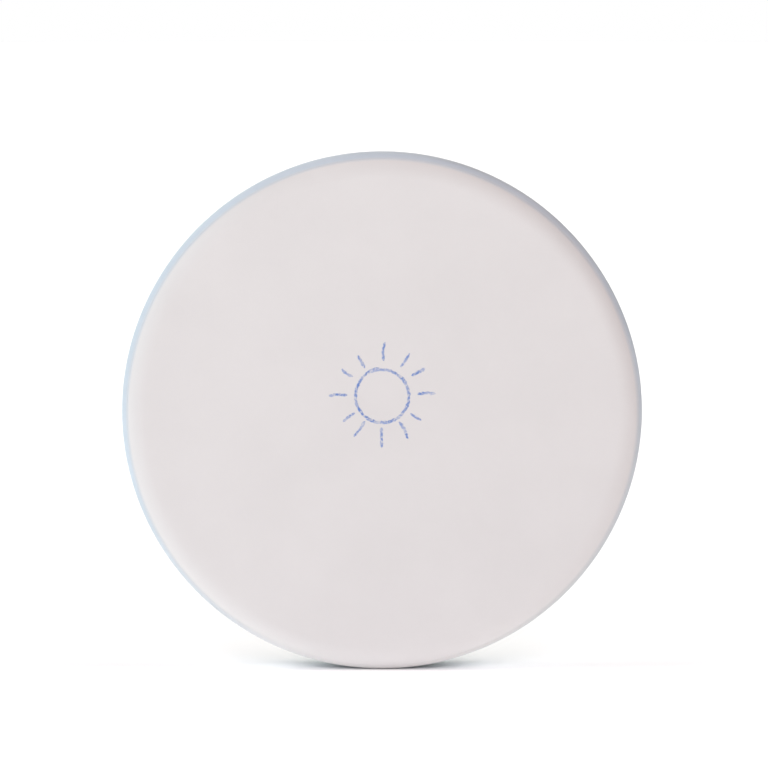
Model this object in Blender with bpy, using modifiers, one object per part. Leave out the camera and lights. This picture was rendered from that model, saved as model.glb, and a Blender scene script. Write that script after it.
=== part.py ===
"""Flying disc: a stiff flight plate, a soft grip rim moulded around its edge and a printed mark.

Metres, +Z up. The disc stands on its rim, with its spin axis along Y and its printed face
towards -Y. The origin is on the ground, under the middle of the disc.

The turned pieces are drawn as half sections, radius against height, in the disc's own frame:
its height runs from the lip plane at 0 up to the face at DEPTH, along the spin axis. An empty
turns that frame upright.
"""

import math

import bmesh
import bpy
from mathutils import Matrix

# Driving dimensions of the whole disc
DISC_RADIUS = 0.135
DEPTH = 0.030
FACE_RADIUS = 0.1225
SHOULDER_DROP = 0.0085
GAP = 0.0003

# Flight plate
PLATE_THICKNESS = 0.0014
SPLIT_ANGLE = math.radians(52.5)
TONGUE_THICKNESS = 0.0014
TONGUE_END = 0.009
GATE_RADIUS = 0.004
GATE_HEIGHT = 0.0004

# Grip rim
SKIN = 0.0018
RIM_WALL = 0.0053
TREAD_END = 0.014
LIP_OUTER = 0.131
LIP_INNER = 0.1286
BEAD_RADIUS = 0.127
BEAD_HEIGHT = 0.003
BEAD_TOP = 0.011

# Pegs of rim material through the tongue, which lock the two together
PEG_COUNT = 24
PEG_RADIUS = 0.002
PEG_HEIGHT = 0.0152

# Printed mark: a sun with straight rays, a little above the middle of the face
MARK_THICKNESS = 0.0002
MARK_STROKE = 0.0014
SUN_RADIUS = 0.014
RAY_END = 0.028
RAY_COUNT = 12
MARK_STEPS = 48
MARK_RISE = 0.010

# Facets of the round pieces
TURN_STEPS = 96
ARC_STEPS = 5
HALF_STEP = math.pi / TURN_STEPS

# Where the rim's inner wall and the shoulder's curves lie
SHOULDER_HEIGHT = DEPTH - SHOULDER_DROP
SHOULDER_WIDTH = DISC_RADIUS - FACE_RADIUS
INNER_RADIUS = DISC_RADIUS - RIM_WALL
CORE_INSET = SKIN + GAP
TONGUE_OUTER = DISC_RADIUS - CORE_INSET
TONGUE_INNER = TONGUE_OUTER - TONGUE_THICKNESS
LEDGE_HEIGHT = SHOULDER_HEIGHT - 0.0002

PLATE_COLOUR = (0.79, 0.768, 0.757)
RIM_COLOUR = (0.63, 0.70, 0.765)
INK_COLOUR = (0.155, 0.27, 0.66)


def clear_scene():
    for item in list(bpy.data.objects):
        bpy.data.objects.remove(item)


def make_collection(name):
    collection = bpy.data.collections.new(name)
    bpy.context.scene.collection.children.link(collection)
    return collection


def make_material(name, colour, roughness):
    material = bpy.data.materials.new(name)
    material.use_nodes = True
    shader = material.node_tree.nodes["Principled BSDF"]
    shader.inputs["Base Color"].default_value = (*colour, 1.0)
    shader.inputs["Roughness"].default_value = roughness
    shader.inputs["Metallic"].default_value = 0.0
    return material


def add_object(name, mesh, collection, parent):
    item = bpy.data.objects.new(name, mesh)
    collection.objects.link(item)
    item.parent = parent
    return item


def add_disc_frame(collection):
    """The empty that stands the disc up: its own +Z becomes -Y, and its lip faces +Y."""
    frame = bpy.data.objects.new("disc_frame", None)
    collection.objects.link(frame)
    frame.rotation_euler = (math.radians(90), 0, 0)
    box_depth = DEPTH + GAP + MARK_THICKNESS
    frame.location = (0, box_depth / 2, DISC_RADIUS * math.cos(HALF_STEP))
    return frame


def arc(centre, width, height, start, end, steps=ARC_STEPS):
    """Points of an ellipse about centre, from angle start to end, measured from its top outwards."""
    points = []
    for step in range(steps + 1):
        angle = start + (end - start) * step / steps
        points.append((centre[0] + width * math.sin(angle), centre[1] + height * math.cos(angle)))
    return points


def shoulder(inset, start, end):
    """The shoulder's quarter ellipse, set inwards by inset."""
    centre = (FACE_RADIUS, SHOULDER_HEIGHT)
    return arc(centre, SHOULDER_WIDTH - inset, SHOULDER_DROP - inset, start, end)


def plate_section():
    """From the axis over the face and the shoulder, down the tongue and back under the plate."""
    right = math.pi / 2
    under = DEPTH - PLATE_THICKNESS
    inner_centre = (FACE_RADIUS, LEDGE_HEIGHT)
    inner_width = INNER_RADIUS - FACE_RADIUS
    points = [(0, DEPTH)]
    points += shoulder(0, 0, SPLIT_ANGLE)
    points += shoulder(CORE_INSET, SPLIT_ANGLE, right)
    points += [(TONGUE_OUTER, TONGUE_END), (TONGUE_INNER, TONGUE_END), (TONGUE_INNER, LEDGE_HEIGHT)]
    points += arc(inner_centre, inner_width, under - LEDGE_HEIGHT, right, 0)
    points += [(GATE_RADIUS, under), (GATE_RADIUS, under - GATE_HEIGHT), (0, under - GATE_HEIGHT)]
    return points


def bead_curve(steps=ARC_STEPS):
    """The soft S from the lip's inner bead up to the straight inner wall."""
    points = []
    for step in range(steps + 1):
        share = step / steps
        swing = (1 - math.cos(math.pi * share)) / 2
        radius = BEAD_RADIUS + (INNER_RADIUS - BEAD_RADIUS) * swing
        points.append((radius, BEAD_HEIGHT + (BEAD_TOP - BEAD_HEIGHT) * share))
    return points


def rim_section():
    """From the seam down the tread and under the lip, up the inner wall and around the tongue's slot."""
    right = math.pi / 2
    seam_angle = SPLIT_ANGLE + GAP / math.hypot(
        SHOULDER_WIDTH * math.cos(SPLIT_ANGLE), SHOULDER_DROP * math.sin(SPLIT_ANGLE)
    )
    slot_outer = TONGUE_OUTER + GAP
    slot_inner = TONGUE_INNER - GAP
    slot_end = TONGUE_END - GAP
    skin_top = LEDGE_HEIGHT - GAP
    lip = (LIP_OUTER, TREAD_END)
    bead = (LIP_INNER, BEAD_HEIGHT)
    points = shoulder(0, seam_angle, right)
    points += arc(lip, DISC_RADIUS - LIP_OUTER, TREAD_END, right, math.pi)
    points += arc(bead, LIP_INNER - BEAD_RADIUS, BEAD_HEIGHT, math.pi, 1.5 * math.pi, 3)
    points += bead_curve()[1:]
    points += [(INNER_RADIUS, skin_top), (slot_inner, skin_top)]
    points += [(slot_inner, slot_end), (slot_outer, slot_end)]
    points += shoulder(SKIN, right, seam_angle)
    return points


def turn(name, points, closed, material, collection, parent, steps=TURN_STEPS):
    """Turn a half section about the spin axis with a Screw modifier."""
    mesh = bpy.data.meshes.new(name)
    edges = [(i, i + 1) for i in range(len(points) - 1)]
    if closed:
        edges.append((len(points) - 1, 0))
    mesh.from_pydata([(radius, 0, height) for radius, height in points], edges, [])
    mesh.materials.append(material)
    item = add_object(name, mesh, collection, parent)
    item.rotation_euler = (0, 0, HALF_STEP)
    screw = item.modifiers.new("turn", "SCREW")
    screw.axis = "Z"
    screw.angle = 2 * math.pi
    screw.steps = steps
    screw.render_steps = steps
    screw.use_merge_vertices = True
    screw.merge_threshold = 0.00001
    screw.use_smooth_shade = True
    return item


def ring_of_pegs(name, radius, inner, outer, collection, parent):
    """Round pegs that point outwards from the spin axis, each in the middle of a facet."""
    bm = bmesh.new()
    for index in range(PEG_COUNT):
        angle = HALF_STEP + 2 * math.pi * index / PEG_COUNT
        place = Matrix.Rotation(angle, 4, "Z")
        place = place @ Matrix.Translation(((inner + outer) / 2, 0, PEG_HEIGHT))
        place = place @ Matrix.Rotation(math.pi / 2, 4, "Y")
        bmesh.ops.create_cone(
            bm, cap_ends=True, segments=12, radius1=radius, radius2=radius,
            depth=outer - inner, matrix=place,
        )
    mesh = bpy.data.meshes.new(name)
    bm.to_mesh(mesh)
    bm.free()
    item = add_object(name, mesh, collection, parent)
    item.rotation_euler = (0, 0, HALF_STEP)
    item.hide_render = True
    item.display_type = "WIRE"
    return item


def combine(item, other, operation):
    boolean = item.modifiers.new(other.name, "BOOLEAN")
    boolean.operation = operation
    boolean.solver = "EXACT"
    boolean.object = other


def shade_round(item):
    """Smooth shading over the curves, sharp at the section's corners."""
    bpy.context.view_layer.objects.active = item
    item.data.shade_smooth()
    item.data.set_sharp_from_angle(angle=math.radians(35))


def add_flight_plate(parts, cutters, frame):
    material = make_material("plate_plastic", PLATE_COLOUR, 0.5)
    plate = turn("flight_plate", plate_section(), False, material, parts, frame)
    margin = 0.001
    holes = ring_of_pegs(
        "lock_holes", PEG_RADIUS + GAP, TONGUE_INNER - margin, TONGUE_OUTER + margin, cutters, frame
    )
    combine(plate, holes, "DIFFERENCE")
    shade_round(plate)


def add_grip_rim(parts, cutters, frame):
    material = make_material("rim_rubber", RIM_COLOUR, 0.6)
    rim = turn("grip_rim", rim_section(), True, material, parts, frame)
    inner = (INNER_RADIUS + TONGUE_INNER) / 2
    outer = TONGUE_OUTER + SKIN / 2
    pegs = ring_of_pegs("lock_pegs", PEG_RADIUS, inner, outer, cutters, frame)
    combine(rim, pegs, "UNION")
    shade_round(rim)


def sun_rays(collection, parent):
    """Straight strokes from the middle of the sun's outline outwards."""
    length = RAY_END - SUN_RADIUS
    bm = bmesh.new()
    for index in range(RAY_COUNT):
        place = Matrix.Rotation(2 * math.pi * index / RAY_COUNT, 4, "Z")
        place = place @ Matrix.Translation((SUN_RADIUS + length / 2, 0, MARK_THICKNESS / 2))
        place = place @ Matrix.Diagonal((length, MARK_STROKE, MARK_THICKNESS, 1))
        bmesh.ops.create_cube(bm, size=1, matrix=place)
    mesh = bpy.data.meshes.new("sun_rays")
    bm.to_mesh(mesh)
    bm.free()
    rays = add_object("sun_rays", mesh, collection, parent)
    rays.hide_render = True
    rays.display_type = "WIRE"
    return rays


def add_printed_mark(parts, cutters, frame):
    """A film of ink: the sun's outline as a flat ring, joined to its rays."""
    material = make_material("mark_ink", INK_COLOUR, 0.7)
    inner = SUN_RADIUS - MARK_STROKE / 2
    outer = SUN_RADIUS + MARK_STROKE / 2
    section = [(outer, MARK_THICKNESS), (outer, 0), (inner, 0), (inner, MARK_THICKNESS)]
    mark = turn("printed_mark", section, True, material, parts, frame, MARK_STEPS)
    mark.rotation_euler = (0, 0, 0)
    rays = sun_rays(cutters, frame)
    combine(mark, rays, "UNION")
    for piece in (mark, rays):
        piece.location = (0, MARK_RISE, DEPTH + GAP)
    shade_round(mark)


def main():
    clear_scene()
    parts = make_collection("flying_disc")
    cutters = make_collection("cutters")
    frame = add_disc_frame(parts)
    add_flight_plate(parts, cutters, frame)
    add_grip_rim(parts, cutters, frame)
    add_printed_mark(parts, cutters, frame)


main()
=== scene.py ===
"""Looks of the flying disc: fine turned meshes for the plate and the rim, a crayon sun, and a plain
white studio. Metres, +Z up; the disc stands on its rim with its printed face towards -Y.
"""

import math
import random

import bmesh
import bpy
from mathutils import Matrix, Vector, noise


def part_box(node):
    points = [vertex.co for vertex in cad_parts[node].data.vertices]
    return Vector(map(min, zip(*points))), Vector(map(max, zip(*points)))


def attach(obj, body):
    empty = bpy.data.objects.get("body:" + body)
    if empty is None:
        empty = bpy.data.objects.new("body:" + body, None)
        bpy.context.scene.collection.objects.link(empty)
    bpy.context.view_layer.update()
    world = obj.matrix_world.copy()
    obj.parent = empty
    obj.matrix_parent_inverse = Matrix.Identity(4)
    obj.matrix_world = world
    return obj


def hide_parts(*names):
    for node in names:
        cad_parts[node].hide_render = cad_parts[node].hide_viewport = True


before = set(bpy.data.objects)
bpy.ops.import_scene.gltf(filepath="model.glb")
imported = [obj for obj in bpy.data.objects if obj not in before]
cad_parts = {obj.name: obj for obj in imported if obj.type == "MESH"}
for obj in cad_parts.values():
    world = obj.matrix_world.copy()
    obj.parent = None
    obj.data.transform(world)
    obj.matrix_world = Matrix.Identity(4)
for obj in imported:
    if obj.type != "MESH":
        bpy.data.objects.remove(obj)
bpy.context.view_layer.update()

# The frame's sizes. The CAD's round pieces have 96 facets, whose flats lie inside the true circle.
CAD_STEPS = 96
RIM_LOW, RIM_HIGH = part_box("grip_rim")
PLATE_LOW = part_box("flight_plate")[0]
MARK_LOW, MARK_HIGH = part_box("printed_mark")
CENTRE_Z = (RIM_LOW.z + RIM_HIGH.z) / 2
DISC_CENTRE = (0, 0, CENTRE_Z)
LIP_Y = RIM_HIGH.y
FACE_Y = PLATE_LOW.y
DEPTH = LIP_Y - FACE_Y
DISC_RADIUS = (RIM_HIGH.z - RIM_LOW.z) / 2 / math.cos(math.pi / CAD_STEPS)

# The half section, as in the CAD but for a narrower seam. SKIN is the rubber's thickness over the
# plate's tongue.
RIGHT_ANGLE = math.pi / 2
FACE_RADIUS = DISC_RADIUS - 0.0125
SHOULDER_DROP = 0.0085
PLATE_THICKNESS = 0.0014
TONGUE_THICKNESS = 0.0014
TONGUE_END = 0.009
LEDGE_STEP = 0.0002
GATE_RADIUS = 0.004
GATE_HEIGHT = 0.0004
SKIN = 0.0018
RIM_WALL = 0.0053
TREAD_END = 0.014
LIP_OUTER = DISC_RADIUS - 0.004
LIP_INNER = DISC_RADIUS - 0.0064
BEAD_RADIUS = DISC_RADIUS - 0.008
BEAD_HEIGHT = 0.003
BEAD_TOP = 0.011
SEAM = 0.00012
SHOULDER_HEIGHT = DEPTH - SHOULDER_DROP
SHOULDER_WIDTH = DISC_RADIUS - FACE_RADIUS
INNER_RADIUS = DISC_RADIUS - RIM_WALL
TONGUE_OUTER = DISC_RADIUS - SKIN - SEAM
TONGUE_INNER = TONGUE_OUTER - TONGUE_THICKNESS
LEDGE_HEIGHT = SHOULDER_HEIGHT - LEDGE_STEP
TREAD_Y = LIP_Y - SHOULDER_HEIGHT

# The mould's parting line, a shallow groove round the tread
PARTING_HEIGHT = 0.0175
PARTING_WIDTH = 0.0003
PARTING_DEPTH = 0.00005

# How finely the sections are turned, and where the flat face and its underside have rings of points
TURN_STEPS = 288
ARC_STEPS = 14
FACE_RINGS = (0.1, 0.3, 0.5, 0.7, 0.85, 0.95)
UNDERSIDE_RINGS = (0.95, 0.7, 0.4, 0.1)
WELD_DISTANCE = 0.000001
SHARP_ANGLE = math.radians(35)

# The seam on the shoulder is a circle a little off the axis, towards the right and down, as the two
# shots of plastic never meet quite evenly. The colours fade into one another along it.
SEAM_RADIUS = DISC_RADIUS - 0.00278
SEAM_RIGHT = 0.00022
SEAM_DOWN = 0.00032
SEAM_CENTRE = (SEAM_RIGHT, 0, CENTRE_Z - SEAM_DOWN)
SEAM_FADE = 0.00105
SEAM_SHARE = 0.5
# Painted shade and painted light on the shoulder: its blue is painted greyer and a little darker low
# down and a little to the right, and painted lighter, out to the plate's white, at the foot. It is the
# tread's blue again where the tread starts, and the change takes FRONT_FADE.
PAINTED_SHADE_SIDE = (0.26, 0, -0.966)
PAINTED_SHADE_MOST = 0.9
PAINTED_LIGHT_SIDE = (0, 0, -1)
PAINTED_LIGHT_START = 0.8 * DISC_RADIUS
FRONT_FADE = 0.0025

# The crayon sun on the face: a circle that overlaps itself, and rays of uneven length and lean
SUN_CENTRE = Vector((0, (MARK_LOW.z + MARK_HIGH.z) / 2))
SUN_REACH = (MARK_HIGH.z - MARK_LOW.z) / 2
SUN_RADIUS = SUN_REACH / 2
SUN_START = math.radians(118)
SUN_OVERLAP = 1.06
SUN_SPIRAL = 0.06
SUN_WIDENING = 1.04
SUN_WOBBLE = 0.1
SUN_WAVES = 3.1
SUN_RAYS = 12
RAY_SPREAD = 0.13
RAY_LEAN = 0.12
RAY_SWAY = 0.6
RAY_BEND = 0.0006
RAY_START = (1.17, 1.3)
RAY_END = (0.86, 0.97)
LONG_RAY_END = 0.985
LONG_RAY_EVERY = 3

# A crayon stroke is a low ribbon, narrower at the top, with rounded ends and a ragged edge
STROKE = 0.0014
STROKE_STEP = 0.00025
STROKE_TOP = 0.8
STROKE_LIFT = 0.0001
STROKE_FOOT = 0.00002
STROKE_TIP = 0.4
RAY_WIDTHS = (0.85, 1.1)
# Where the circle crosses its own start, its end lies this much higher
OVERLAP_LIFT = 0.00004
# The ragged edge's two waves: a seed, the length of a wave, and its share of half the width
RAGGED_WAVES = (
    (0.31, 0.004, 0.2),
    (0.57, 0.0007, 0.3),
)

# Each seed reads a row of its own from one noise
NOISE_ROW = 7.3
NOISE_SLICE = 0.5
CIRCLE_SEED = 1
SHAPE_SEED = 3
DICE_SEED = 5
FIRST_RAY_SEED = 11

# Marks that the mould's ejector pins leave on the underside: a low ring round a flat middle, as
# shares of the radius and heights over the plastic
EJECTOR_COUNT = 8
EJECTOR_CIRCLE = 0.1
EJECTOR_RADIUS = 0.0032
EJECTOR_SIDES = 48
EJECTOR_PROFILE = (
    (0.84, 0.00003),
    (0.88, 0.0002),
    (0.96, 0.0002),
    (1, -0.0002),
)

PLATE_COLOUR = (0.792, 0.776, 0.765)
RIM_COLOUR = (0.63, 0.7, 0.765)
# The shoulder's painted shade: a grey a little darker than the rim's blue
PAINTED_SHADE_COLOUR = (0.66, 0.655, 0.645)
SCUFF_COLOUR = (0.72, 0.76, 0.79)
INK_COLOUR = (0.155, 0.27, 0.62)
FLOOR_COLOURS = ((0.9, 0.9, 0.9), (0.905, 0.905, 0.905))

# Patterns of the materials: features to the metre, and how many finer layers they carry
PLATE_CLOUDS = (22, 3)
PLATE_SPECKS = (900, 2)
PLATE_SHEEN = (60, 4)
RIM_CLOUDS = (35, 3)
RIM_SCUFFS = (90, 4)
RIM_SHEEN = (300, 4)
WAX_SKIPS = (1100, 4)
WAX_PRESS = (190, 2)
WAX_GRAIN = (3200, 2)
FLOOR_CLOUDS = (3, 2)
# Bump layers: features to the metre, finer layers, and depth
PLATE_BUMPS = (
    (1800, 3, 0.00005),
    (260, 2, 0.00003),
)
RIM_BUMPS = (
    (2400, 3, 0.00007),
    (420, 2, 0.00005),
)
WAX_SKIP_DEPTH = 0.00003
WAX_GRAIN_DEPTH = 0.00002
# The stretch of a noise's values that makes the whole change, so that its middle stands out
CLOUD_SPAN = (0.35, 0.65)
GRAIN_SPAN = (0.3, 0.7)
SCUFF_SPAN = (0.52, 0.72)
SKIP_SPAN = (0.34, 0.5)
PRESS_SPAN = (0.38, 0.62)
# How much lighter and darker the clouds are, and how dark and how strong the specks
PLATE_CLOUDING = 0.012
RIM_CLOUDING = 0.02
SPECK_TINT = 0.9
SPECK_SHARE = 0.05
# The tread is scuffed down to this depth, in streaks drawn out round it
SCUFF_DEPTH = 0.0012
SCUFF_STRETCH = (1, 5, 1)
SCUFF_SHARE = 0.3
# The least of the wax that is left where it skips, and where the crayon was pressed lightly
WAX_THINNEST = 0.1
PRESS_LEAST = 0.5
# Roughness from the shiniest to the mattest place, and what wear adds to it
PLATE_ROUGHNESS = (0.42, 0.52)
PLATE_WEAR = 0.06
PLATE_WEAR_WIDTH = 0.01
RIM_ROUGHNESS = (0.58, 0.72)
RIM_WEAR = 0.08
WAX_ROUGHNESS = (0.5, 0.72)

CAMERA_DISTANCE = 2.0
CAMERA_ELEVATION = 6.6
CAMERA_AZIMUTH = -0.4
CAMERA_LENS = 181.3
CAMERA_SENSOR = 36
CAMERA_FAR = 50
AIM_RIGHT = 0.0009
AIM_UP = 0.0156

FLOOR_RADIUS = 12
FLOOR_SIDES = 96
FLOOR_GAP = 0.00002

# Places are given by azimuth and elevation in degrees. Azimuth 0 is in front of the printed face and
# grows towards +X.
# Softboxes for the disc: azimuth and elevation of where each stands, its distance, its size, and its
# watts of red, green and blue
SOFTBOXES = {
    "left": (-62, 22, 1.9, 1.2, (7.9, 10.2, 10.8)),
    "front_top": (0, 60, 1.9, 1.0, (8.4, 7.4, 6.4)),
    "overhead": (180, 70, 1.9, 1.0, (3.7, 3.7, 4.2)),
}
# White suns that light only the floor: azimuth, elevation, angle across, and strength
FLOOR_SUN_DISTANCE = 3
FLOOR_SUNS = {
    "floor_front": (0, 35, 40, 1.44),
    "floor_left_high": (-90, 50, 40, 0.45),
    "floor_left": (-85, 36, 20, 0.81),
    "floor_left_low": (-75, 25, 30, 0.46),
    "floor_right_high": (90, 50, 40, 0.57),
    "floor_right": (85, 36, 20, 0.95),
    "floor_right_low": (75, 25, 30, 0.28),
}
# The room's glow: azimuth and elevation of its middle, from where it falls off with the square of the
# cosine, and its brightness there
ROOM_GLOW = (
    (180, 0, (0.78, 0.69, 0.54)),
    (-135, 0, (0.99, 1.11, 1.13)),
    (0, 45, (0.51, 0.41, 0.47)),
)


def link_mesh(name, bm):
    bmesh.ops.recalc_face_normals(bm, faces=bm.faces)
    mesh = bpy.data.meshes.new(name)
    bm.to_mesh(mesh)
    bm.free()
    item = bpy.data.objects.new(name, mesh)
    bpy.context.scene.collection.objects.link(item)
    return item


def bridge(bm, one, two):
    """Join two closed rings of as many vertices with quads."""
    count = len(one)
    for step in range(count):
        after = (step + 1) % count
        bm.faces.new((one[step], two[step], two[after], one[after]))


def arc(centre, width, height, start, end):
    """Points on an arc of an ellipse. Its angles start at the top and grow outwards."""
    points = []
    for step in range(ARC_STEPS + 1):
        angle = start + (end - start) * step / ARC_STEPS
        points.append((centre[0] + width * math.sin(angle), centre[1] + height * math.cos(angle)))
    return points


def shoulder(inset, start, end):
    centre = (FACE_RADIUS, SHOULDER_HEIGHT)
    return arc(centre, SHOULDER_WIDTH - inset, SHOULDER_DROP - inset, start, end)


def split_angle(turn_angle):
    """Where the seam crosses the shoulder, at a turn about the axis."""
    radius = SEAM_RADIUS + SEAM_RIGHT * math.cos(turn_angle) - SEAM_DOWN * math.sin(turn_angle)
    return math.asin((radius - FACE_RADIUS) / SHOULDER_WIDTH)


def plate_section(split):
    """The plate's half section: out over the face, round the tongue, and back under it to the gate."""
    under = DEPTH - PLATE_THICKNESS
    inner_centre = (FACE_RADIUS, LEDGE_HEIGHT)
    inner_width = INNER_RADIUS - FACE_RADIUS
    points = [(0, DEPTH)]
    points += [(FACE_RADIUS * share, DEPTH) for share in FACE_RINGS]
    points += shoulder(0, 0, split)
    points += shoulder(SKIN + SEAM, split, RIGHT_ANGLE)
    points.append((TONGUE_OUTER, TONGUE_END))
    points.append((TONGUE_INNER, TONGUE_END))
    points.append((TONGUE_INNER, LEDGE_HEIGHT))
    points += arc(inner_centre, inner_width, under - LEDGE_HEIGHT, RIGHT_ANGLE, 0)
    points += [(FACE_RADIUS * share, under) for share in UNDERSIDE_RINGS]
    points.append((GATE_RADIUS, under))
    points.append((GATE_RADIUS, under - GATE_HEIGHT))
    points.append((0, under - GATE_HEIGHT))
    return points


def bead_curve():
    """The bead's inside, an S from its widest place up to the rim's wall."""
    points = []
    for step in range(1, ARC_STEPS + 1):
        share = step / ARC_STEPS
        swing = (1 - math.cos(math.pi * share)) / 2
        radius = BEAD_RADIUS + (INNER_RADIUS - BEAD_RADIUS) * swing
        points.append((radius, BEAD_HEIGHT + (BEAD_TOP - BEAD_HEIGHT) * share))
    return points


def rim_section(split):
    """The rim's half section: from the seam over tread, lip and bead, and back round the tongue."""
    run = math.hypot(SHOULDER_WIDTH * math.cos(split), SHOULDER_DROP * math.sin(split))
    start = split + SEAM / run
    lip_width = LIP_INNER - BEAD_RADIUS
    points = shoulder(0, start, RIGHT_ANGLE)
    points.append((DISC_RADIUS, PARTING_HEIGHT + PARTING_WIDTH / 2))
    points.append((DISC_RADIUS - PARTING_DEPTH, PARTING_HEIGHT))
    points.append((DISC_RADIUS, PARTING_HEIGHT - PARTING_WIDTH / 2))
    points += arc((LIP_OUTER, TREAD_END), DISC_RADIUS - LIP_OUTER, TREAD_END, RIGHT_ANGLE, math.pi)
    points += arc((LIP_INNER, BEAD_HEIGHT), lip_width, BEAD_HEIGHT, math.pi, 3 * RIGHT_ANGLE)
    points += bead_curve()
    points.append((INNER_RADIUS, LEDGE_HEIGHT - SEAM))
    points.append((TONGUE_INNER - SEAM, LEDGE_HEIGHT - SEAM))
    points.append((TONGUE_INNER - SEAM, TONGUE_END - SEAM))
    points.append((TONGUE_OUTER + SEAM, TONGUE_END - SEAM))
    points += shoulder(SKIN, RIGHT_ANGLE, start)
    return points


def turn(name, section, closed):
    """Turn a half section (radius, height over the lip plane) about the disc's axis."""
    bm = bmesh.new()
    angles = [2 * math.pi * step / TURN_STEPS for step in range(TURN_STEPS)]
    sections = [section(split_angle(angle)) for angle in angles]
    rings = []
    for circle in zip(*sections):
        ring = []
        for angle, (radius, height) in zip(angles, circle):
            x = radius * math.cos(angle)
            z = CENTRE_Z + radius * math.sin(angle)
            ring.append(bm.verts.new((x, LIP_Y - height, z)))
        rings.append(ring)
    for one, two in zip(rings, rings[1:]):
        bridge(bm, one, two)
    if closed:
        bridge(bm, rings[-1], rings[0])
    bmesh.ops.remove_doubles(bm, verts=bm.verts, dist=WELD_DISTANCE)
    item = link_mesh(name, bm)
    item.data.shade_smooth()
    item.data.set_sharp_from_angle(angle=SHARP_ANGLE)
    return item


def ejector_marks():
    """Round witness marks of the mould's ejector pins, in a circle on the underside."""
    bm = bmesh.new()
    under_y = FACE_Y + PLATE_THICKNESS
    for mark in range(EJECTOR_COUNT):
        turn_angle = 2 * math.pi * (mark + 0.5) / EJECTOR_COUNT
        middle_x = EJECTOR_CIRCLE * math.cos(turn_angle)
        middle_z = CENTRE_Z + EJECTOR_CIRCLE * math.sin(turn_angle)
        rings = []
        for share, rise in EJECTOR_PROFILE:
            radius = EJECTOR_RADIUS * share
            ring = []
            for side in range(EJECTOR_SIDES):
                angle = 2 * math.pi * side / EJECTOR_SIDES
                x = middle_x + radius * math.cos(angle)
                z = middle_z + radius * math.sin(angle)
                ring.append(bm.verts.new((x, under_y + rise, z)))
            rings.append(ring)
        bm.faces.new(rings[0])
        bm.faces.new(rings[-1])
        for one, two in zip(rings, rings[1:]):
            bridge(bm, one, two)
    return link_mesh("ejector_marks", bm)


def wobble(seed, along, size):
    """A smooth random number from about -size to size."""
    return size * 2 * noise.noise(Vector((along, seed * NOISE_ROW, NOISE_SLICE)))


def draw_stroke(bm, path, width, seed, lift=0.0):
    """Add a crayon stroke along a path of (x, z) points, which rises by lift towards its end."""
    rings = []
    last = len(path) - 1
    for index, point in enumerate(path):
        along = index * STROKE_STEP
        ahead = path[min(index + 1, last)] - path[max(index - 1, 0)]
        side = Vector((-ahead.y, ahead.x)).normalized()
        from_end = (min(index, last - index) + STROKE_TIP) * STROKE_STEP
        ends = min(1, math.sqrt(from_end / width))
        halves = []
        for edge in (1, 2):
            rough = sum(
                wobble(seed + edge * wave_seed, along / length, share)
                for wave_seed, length, share in RAGGED_WAVES
            )
            halves.append(width / 2 * ends * (1 + rough))
        top = FACE_Y - STROKE_LIFT - lift * index / last
        foot = FACE_Y - STROKE_FOOT
        corners = (
            (point + side * halves[0], foot),
            (point + side * halves[0] * STROKE_TOP, top),
            (point - side * halves[1] * STROKE_TOP, top),
            (point - side * halves[1], foot),
        )
        rings.append([bm.verts.new((flat.x, y, flat.y)) for flat, y in corners])
    for one, two in zip(rings, rings[1:]):
        bridge(bm, one, two)
    bm.faces.new(rings[0])
    bm.faces.new(rings[-1])


def curve_points(place, length):
    """Sample place(share) at even steps along its length."""
    count = round(length / STROKE_STEP)
    return [place(step / count) for step in range(count + 1)]


def draw_circle(bm):
    def on_circle(share):
        angle = SUN_START - 2 * math.pi * SUN_OVERLAP * share
        swell = wobble(SHAPE_SEED, share * SUN_WAVES, SUN_WOBBLE)
        radius = SUN_RADIUS * (1 + swell - SUN_SPIRAL * share)
        return SUN_CENTRE + Vector((math.cos(angle) * SUN_WIDENING, math.sin(angle))) * radius

    path = curve_points(on_circle, 2 * math.pi * SUN_RADIUS * SUN_OVERLAP)
    draw_stroke(bm, path, STROKE, CIRCLE_SEED, OVERLAP_LIFT)


def draw_ray(bm, ray, dice):
    angle = 2 * math.pi * (ray + dice.uniform(-RAY_SPREAD, RAY_SPREAD)) / SUN_RAYS
    lean = dice.uniform(-RAY_LEAN, RAY_LEAN)
    bend = dice.uniform(-RAY_BEND, RAY_BEND)
    start = SUN_RADIUS * dice.uniform(*RAY_START)
    end = SUN_REACH * (dice.uniform(*RAY_END) if ray % LONG_RAY_EVERY else LONG_RAY_END)
    way = Vector((math.cos(angle), math.sin(angle)))
    drift = Vector((-way.y, way.x))

    def on_ray(share):
        out = start + (end - start) * share
        sway = lean * (out - start) * RAY_SWAY + bend * math.sin(math.pi * share)
        return SUN_CENTRE + way * out + drift * sway

    path = curve_points(on_ray, end - start)
    draw_stroke(bm, path, STROKE * dice.uniform(*RAY_WIDTHS), FIRST_RAY_SEED + ray)


def draw_sun():
    """A hand-drawn sun: a circle that overlaps itself, and short uneven rays."""
    bm = bmesh.new()
    draw_circle(bm)
    dice = random.Random(DICE_SEED)
    for ray in range(SUN_RAYS):
        draw_ray(bm, ray, dice)
    return link_mesh("crayon_sun", bm)


def feed(tree, socket, value):
    """Set a socket to a number, a colour or a vector, or link it to another node's output."""
    if value is None:
        return
    if isinstance(value, bpy.types.NodeSocket):
        tree.links.new(value, socket)
    else:
        socket.default_value = value


def math_node(tree, operation, one, two):
    node = tree.nodes.new("ShaderNodeMath")
    node.operation = operation
    feed(tree, node.inputs[0], one)
    feed(tree, node.inputs[1], two)
    return node.outputs[0]


def vector_math(tree, operation, one, two, scale=None):
    node = tree.nodes.new("ShaderNodeVectorMath")
    node.operation = operation
    feed(tree, node.inputs[0], one)
    feed(tree, node.inputs[1], two)
    if scale is not None:
        feed(tree, node.inputs["Scale"], scale)
    return node


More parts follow.
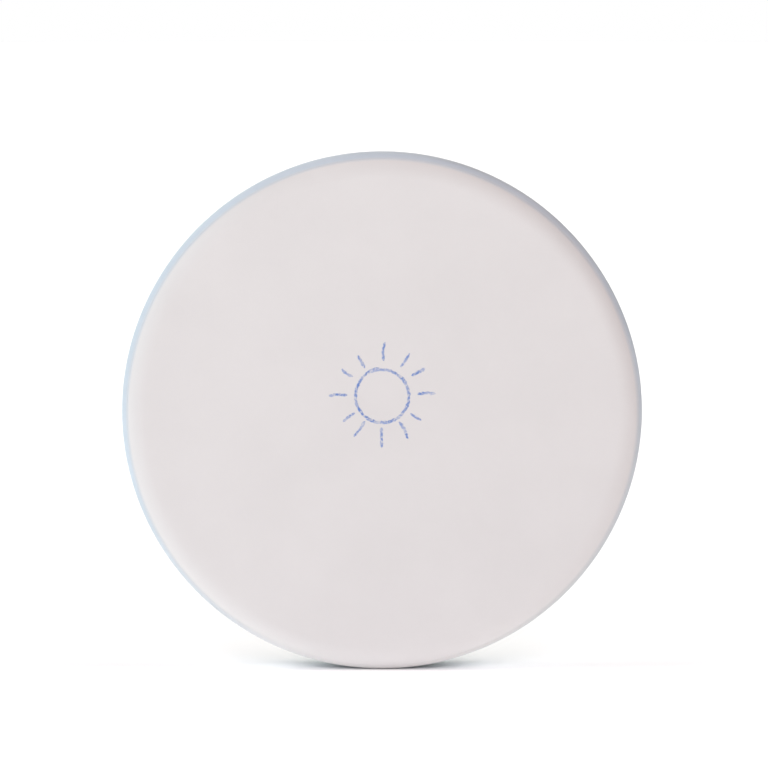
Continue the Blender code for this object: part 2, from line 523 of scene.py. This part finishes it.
def remap(tree, value, span, to=(0, 1)):
    """Map a span of values onto another one, and hold what lies outside at its ends."""
    node = tree.nodes.new("ShaderNodeMapRange")
    for socket, number in zip(node.inputs, (value, *span, *to)):
        feed(tree, socket, number)
    return node.outputs["Result"]


def mix_colours(tree, share, one, two):
    node = tree.nodes.new("ShaderNodeMix")
    node.data_type = "RGBA"
    feed(tree, node.inputs[0], share)
    for socket, colour in ((node.inputs[6], one), (node.inputs[7], two)):
        feed(tree, socket, (*colour, 1) if isinstance(colour, tuple) else colour)
    return node.outputs[2]


def tinted(colour, factor):
    return tuple(part * factor for part in colour)


def grain(tree, scale, detail, stretch=None):
    """A noise over the surface, in features of about 1 / scale metres."""
    place = tree.nodes["Texture Coordinate"].outputs["Object"]
    if stretch:
        place = vector_math(tree, "MULTIPLY", place, stretch).outputs[0]
    node = tree.nodes.new("ShaderNodeTexNoise")
    node.inputs["Scale"].default_value = scale
    node.inputs["Detail"].default_value = detail
    tree.links.new(place, node.inputs["Vector"])
    return node.outputs[0]


def clouded(tree, pattern, colour, clouding):
    """A colour that is here and there a little darker or lighter."""
    clouds = remap(tree, grain(tree, *pattern), CLOUD_SPAN)
    return mix_colours(tree, clouds, tinted(colour, 1 - clouding), tinted(colour, 1 + clouding))


def radius_from(tree, centre):
    """How far a point is from a line through centre, parallel to the disc's axis."""
    place = tree.nodes["Texture Coordinate"].outputs["Object"]
    across = vector_math(tree, "SUBTRACT", place, centre).outputs[0]
    flat = vector_math(tree, "MULTIPLY", across, (1, 0, 1)).outputs[0]
    return vector_math(tree, "LENGTH", flat, None).outputs["Value"]


def reach_towards(tree, way):
    """How far a point lies from the disc's axis, towards one side."""
    place = tree.nodes["Texture Coordinate"].outputs["Object"]
    across = vector_math(tree, "SUBTRACT", place, DISC_CENTRE).outputs[0]
    return vector_math(tree, "DOT_PRODUCT", across, way).outputs["Value"]


def disc_height(tree):
    """A point's place along the disc's axis."""
    node = tree.nodes.new("ShaderNodeSeparateXYZ")
    tree.links.new(tree.nodes["Texture Coordinate"].outputs["Object"], node.inputs[0])
    return node.outputs["Y"]


def edge_colour_with_painted_light(tree, colour):
    """The rim's colour where it meets the plate: painted shade, greyer, towards one side, and painted
    light, the plate's white, at the foot.
    """
    pale = remap(tree, reach_towards(tree, PAINTED_SHADE_SIDE), (0, DISC_RADIUS), to=(0, PAINTED_SHADE_MOST))
    foot = remap(tree, reach_towards(tree, PAINTED_LIGHT_SIDE), (PAINTED_LIGHT_START, DISC_RADIUS))
    return mix_colours(tree, foot, mix_colours(tree, pale, colour, PAINTED_SHADE_COLOUR), PLATE_COLOUR)


def bumps(tree, layers):
    """Lay bump layers (height, distance) over one another."""
    normal = None
    for height, distance in layers:
        node = tree.nodes.new("ShaderNodeBump")
        node.inputs["Distance"].default_value = distance
        tree.links.new(height, node.inputs["Height"])
        feed(tree, node.inputs["Normal"], normal)
        normal = node.outputs[0]
    return normal


def grain_bumps(tree, layers):
    return bumps(tree, [(grain(tree, scale, detail), depth) for scale, detail, depth in layers])


def new_material(name):
    material = bpy.data.materials.new(name)
    material.use_nodes = True
    material.node_tree.nodes.new("ShaderNodeTexCoord")
    return material, material.node_tree, material.node_tree.nodes["Principled BSDF"]


def plate_material():
    """Moulded white plastic: a fine satin grain, faint clouds, and the first of the blue at the seam."""
    material, tree, shader = new_material("plate_plastic")
    specks = remap(tree, grain(tree, *PLATE_SPECKS), GRAIN_SPAN, to=(0, SPECK_SHARE))
    seam_span = (SEAM_RADIUS - SEAM_FADE, SEAM_RADIUS)
    blue = remap(tree, radius_from(tree, SEAM_CENTRE), seam_span, to=(0, SEAM_SHARE))
    colour = clouded(tree, PLATE_CLOUDS, PLATE_COLOUR, PLATE_CLOUDING)
    colour = mix_colours(tree, specks, colour, tinted(PLATE_COLOUR, SPECK_TINT))
    # The blue at the seam carries the shoulder's painted shade and painted light
    colour = mix_colours(tree, blue, colour, edge_colour_with_painted_light(tree, RIM_COLOUR))
    tree.links.new(colour, shader.inputs["Base Color"])
    worn_span = (FACE_RADIUS - PLATE_WEAR_WIDTH, SEAM_RADIUS)
    worn = remap(tree, radius_from(tree, DISC_CENTRE), worn_span, to=(0, PLATE_WEAR))
    satin = remap(tree, grain(tree, *PLATE_SHEEN), GRAIN_SPAN, to=PLATE_ROUGHNESS)
    tree.links.new(math_node(tree, "ADD", satin, worn), shader.inputs["Roughness"])
    tree.links.new(grain_bumps(tree, PLATE_BUMPS), shader.inputs["Normal"])
    shader.inputs["IOR"].default_value = 1.46
    return material


def rim_material():
    """Soft pale blue rubber: a matte grain, lighter where hands and ground rub the tread."""
    material, tree, shader = new_material("rim_rubber")
    scuff_span = (DISC_RADIUS - SCUFF_DEPTH, DISC_RADIUS)
    rubbed = remap(tree, radius_from(tree, DISC_CENTRE), scuff_span)
    scuffs = remap(tree, grain(tree, *RIM_SCUFFS, SCUFF_STRETCH), SCUFF_SPAN)
    worn = math_node(tree, "MULTIPLY", rubbed, scuffs)
    seam_span = (SEAM_RADIUS, SEAM_RADIUS + SEAM_FADE)
    white = remap(tree, radius_from(tree, SEAM_CENTRE), seam_span, to=(SEAM_SHARE, 0))
    front = remap(tree, disc_height(tree), (TREAD_Y - FRONT_FADE, TREAD_Y), to=(1, 0))
    colour = clouded(tree, RIM_CLOUDS, RIM_COLOUR, RIM_CLOUDING)
    colour = mix_colours(tree, remap(tree, worn, (0, 1), to=(0, SCUFF_SHARE)), colour, SCUFF_COLOUR)
    # Over the shoulder, up to where the tread starts, the blue carries the painted shade and painted
    # light
    colour = mix_colours(tree, front, colour, edge_colour_with_painted_light(tree, colour))
    colour = mix_colours(tree, math_node(tree, "MULTIPLY", white, front), colour, PLATE_COLOUR)
    tree.links.new(colour, shader.inputs["Base Color"])
    matte = remap(tree, grain(tree, *RIM_SHEEN), GRAIN_SPAN, to=RIM_ROUGHNESS)
    added = remap(tree, worn, (0, 1), to=(0, RIM_WEAR))
    tree.links.new(math_node(tree, "ADD", matte, added), shader.inputs["Roughness"])
    tree.links.new(grain_bumps(tree, RIM_BUMPS), shader.inputs["Normal"])
    shader.inputs["IOR"].default_value = 1.5
    shader.inputs["Specular IOR Level"].default_value = 0.35
    return material


def ink_material():
    """Crayon: periwinkle wax that skips over the plastic's grain and lets the white through."""
    material, tree, shader = new_material("mark_ink")
    wax = remap(tree, grain(tree, *WAX_SKIPS), SKIP_SPAN)
    press = remap(tree, grain(tree, *WAX_PRESS), PRESS_SPAN, to=(PRESS_LEAST, 1))
    cover = remap(tree, math_node(tree, "MULTIPLY", wax, press), (0, 1), to=(WAX_THINNEST, 1))
    tree.links.new(mix_colours(tree, cover, PLATE_COLOUR, INK_COLOUR), shader.inputs["Base Color"])
    tree.links.new(remap(tree, cover, (0, 1), to=WAX_ROUGHNESS), shader.inputs["Roughness"])
    texture = ((wax, WAX_SKIP_DEPTH), (grain(tree, *WAX_GRAIN), WAX_GRAIN_DEPTH))
    tree.links.new(bumps(tree, texture), shader.inputs["Normal"])
    return material


def floor_material():
    material, tree, shader = new_material("floor_white")
    clouds = remap(tree, grain(tree, *FLOOR_CLOUDS), GRAIN_SPAN)
    tree.links.new(mix_colours(tree, clouds, *FLOOR_COLOURS), shader.inputs["Base Color"])
    shader.inputs["Roughness"].default_value = 0.9
    return material


def direction(azimuth, elevation):
    azimuth = math.radians(azimuth)
    elevation = math.radians(elevation)
    return Vector((
        math.sin(azimuth) * math.cos(elevation),
        -math.cos(azimuth) * math.cos(elevation),
        math.sin(elevation),
    ))


def aim(item, target, back, distance):
    """Link a camera or a light, at a distance from target in the direction back, and facing it."""
    item.location = target + back * distance
    item.rotation_euler = (-back).to_track_quat("-Z", "Y").to_euler()
    bpy.context.scene.collection.objects.link(item)


def add_camera():
    data = bpy.data.cameras.new("camera")
    data.lens = CAMERA_LENS
    data.sensor_width = CAMERA_SENSOR
    data.clip_end = CAMERA_FAR
    camera = bpy.data.objects.new("camera", data)
    back = direction(CAMERA_AZIMUTH, CAMERA_ELEVATION)
    right = Vector((0, 0, 1)).cross(back).normalized()
    target = Vector((0, FACE_Y, CENTRE_Z)) + right * AIM_RIGHT + back.cross(right) * AIM_UP
    aim(camera, target, back, CAMERA_DISTANCE)
    bpy.context.scene.camera = camera


def add_floor():
    bm = bmesh.new()
    bmesh.ops.create_circle(bm, cap_ends=True, segments=FLOOR_SIDES, radius=FLOOR_RADIUS)
    floor = link_mesh("floor", bm)
    floor.data.materials.append(floor_material())
    floor.location = (0, 0, CENTRE_Z - DISC_RADIUS - FLOOR_GAP)
    return floor


def add_light(name, kind, azimuth, elevation, distance):
    lamp = bpy.data.objects.new(name, bpy.data.lights.new(name, kind))
    lamp.visible_camera = False
    aim(lamp, Vector(DISC_CENTRE), direction(azimuth, elevation), distance)
    return lamp


def lit_only(lamp, objects):
    """Let a light fall only on some of the objects."""
    receivers = bpy.data.collections.new("lit_by_" + lamp.name)
    for item in objects:
        receivers.objects.link(item)
    lamp.light_linking.receiver_collection = receivers


def add_softboxes(disc):
    """Softboxes for the disc; the floor has its own light, so that it stays evenly white."""
    for name, (azimuth, elevation, distance, size, power) in SOFTBOXES.items():
        lamp = add_light(name, "AREA", azimuth, elevation, distance)
        lamp.data.shape = "DISK"
        lamp.data.size = size
        lamp.data.energy = max(power)
        lamp.data.color = tinted(power, 1 / max(power))
        lit_only(lamp, disc)


def add_floor_suns(floor):
    """Wide soft lights that fall only on the floor, and keep it white up to the disc."""
    for name, (azimuth, elevation, angle, strength) in FLOOR_SUNS.items():
        lamp = add_light(name, "SUN", azimuth, elevation, FLOOR_SUN_DISTANCE)
        lamp.data.angle = math.radians(angle)
        lamp.data.energy = strength
        lit_only(lamp, [floor])


def room_light(tree):
    """The glow of every part of the room, added up for the direction that a ray looks in."""
    look = tree.nodes.new("ShaderNodeTexCoord").outputs["Generated"]
    total = None
    for azimuth, elevation, colour in ROOM_GLOW:
        middle = direction(azimuth, elevation)
        along = vector_math(tree, "DOT_PRODUCT", look, middle).outputs["Value"]
        falloff = math_node(tree, "POWER", math_node(tree, "MAXIMUM", along, 0), 2)
        glow = vector_math(tree, "SCALE", colour, None, scale=falloff).outputs[0]
        total = glow if total is None else vector_math(tree, "ADD", total, glow).outputs[0]
    return total


def add_world():
    """White behind everything, and a soft uneven room for the light that reaches the disc."""
    world = bpy.data.worlds.new("studio")
    bpy.context.scene.world = world
    world.use_nodes = True
    tree = world.node_tree
    room = tree.nodes["Background"]
    tree.links.new(room_light(tree), room.inputs["Color"])
    backdrop = tree.nodes.new("ShaderNodeBackground")
    backdrop.inputs["Color"].default_value = (1, 1, 1, 1)
    ray = tree.nodes.new("ShaderNodeLightPath")
    mix = tree.nodes.new("ShaderNodeMixShader")
    tree.links.new(ray.outputs["Is Camera Ray"], mix.inputs[0])
    tree.links.new(room.outputs[0], mix.inputs[1])
    tree.links.new(backdrop.outputs[0], mix.inputs[2])
    tree.links.new(mix.outputs[0], tree.nodes["World Output"].inputs["Surface"])


def place(piece, material, slot, node=None):
    piece.data.materials.append(material)
    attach(piece, "root")
    if node:
        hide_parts(node)
    return piece


plastic = plate_material()
disc = [
    place(turn("flight_plate_shell", plate_section, False), plastic, "plate_plastic", "flight_plate"),
    place(ejector_marks(), plastic, "plate_plastic"),
    place(turn("grip_rim_skin", rim_section, True), rim_material(), "rim_rubber", "grip_rim"),
    place(draw_sun(), ink_material(), "mark_ink", "printed_mark"),
]

add_camera()
add_world()
add_floor_suns(add_floor())
add_softboxes(disc)

bpy.context.scene.view_settings.view_transform = "Standard"
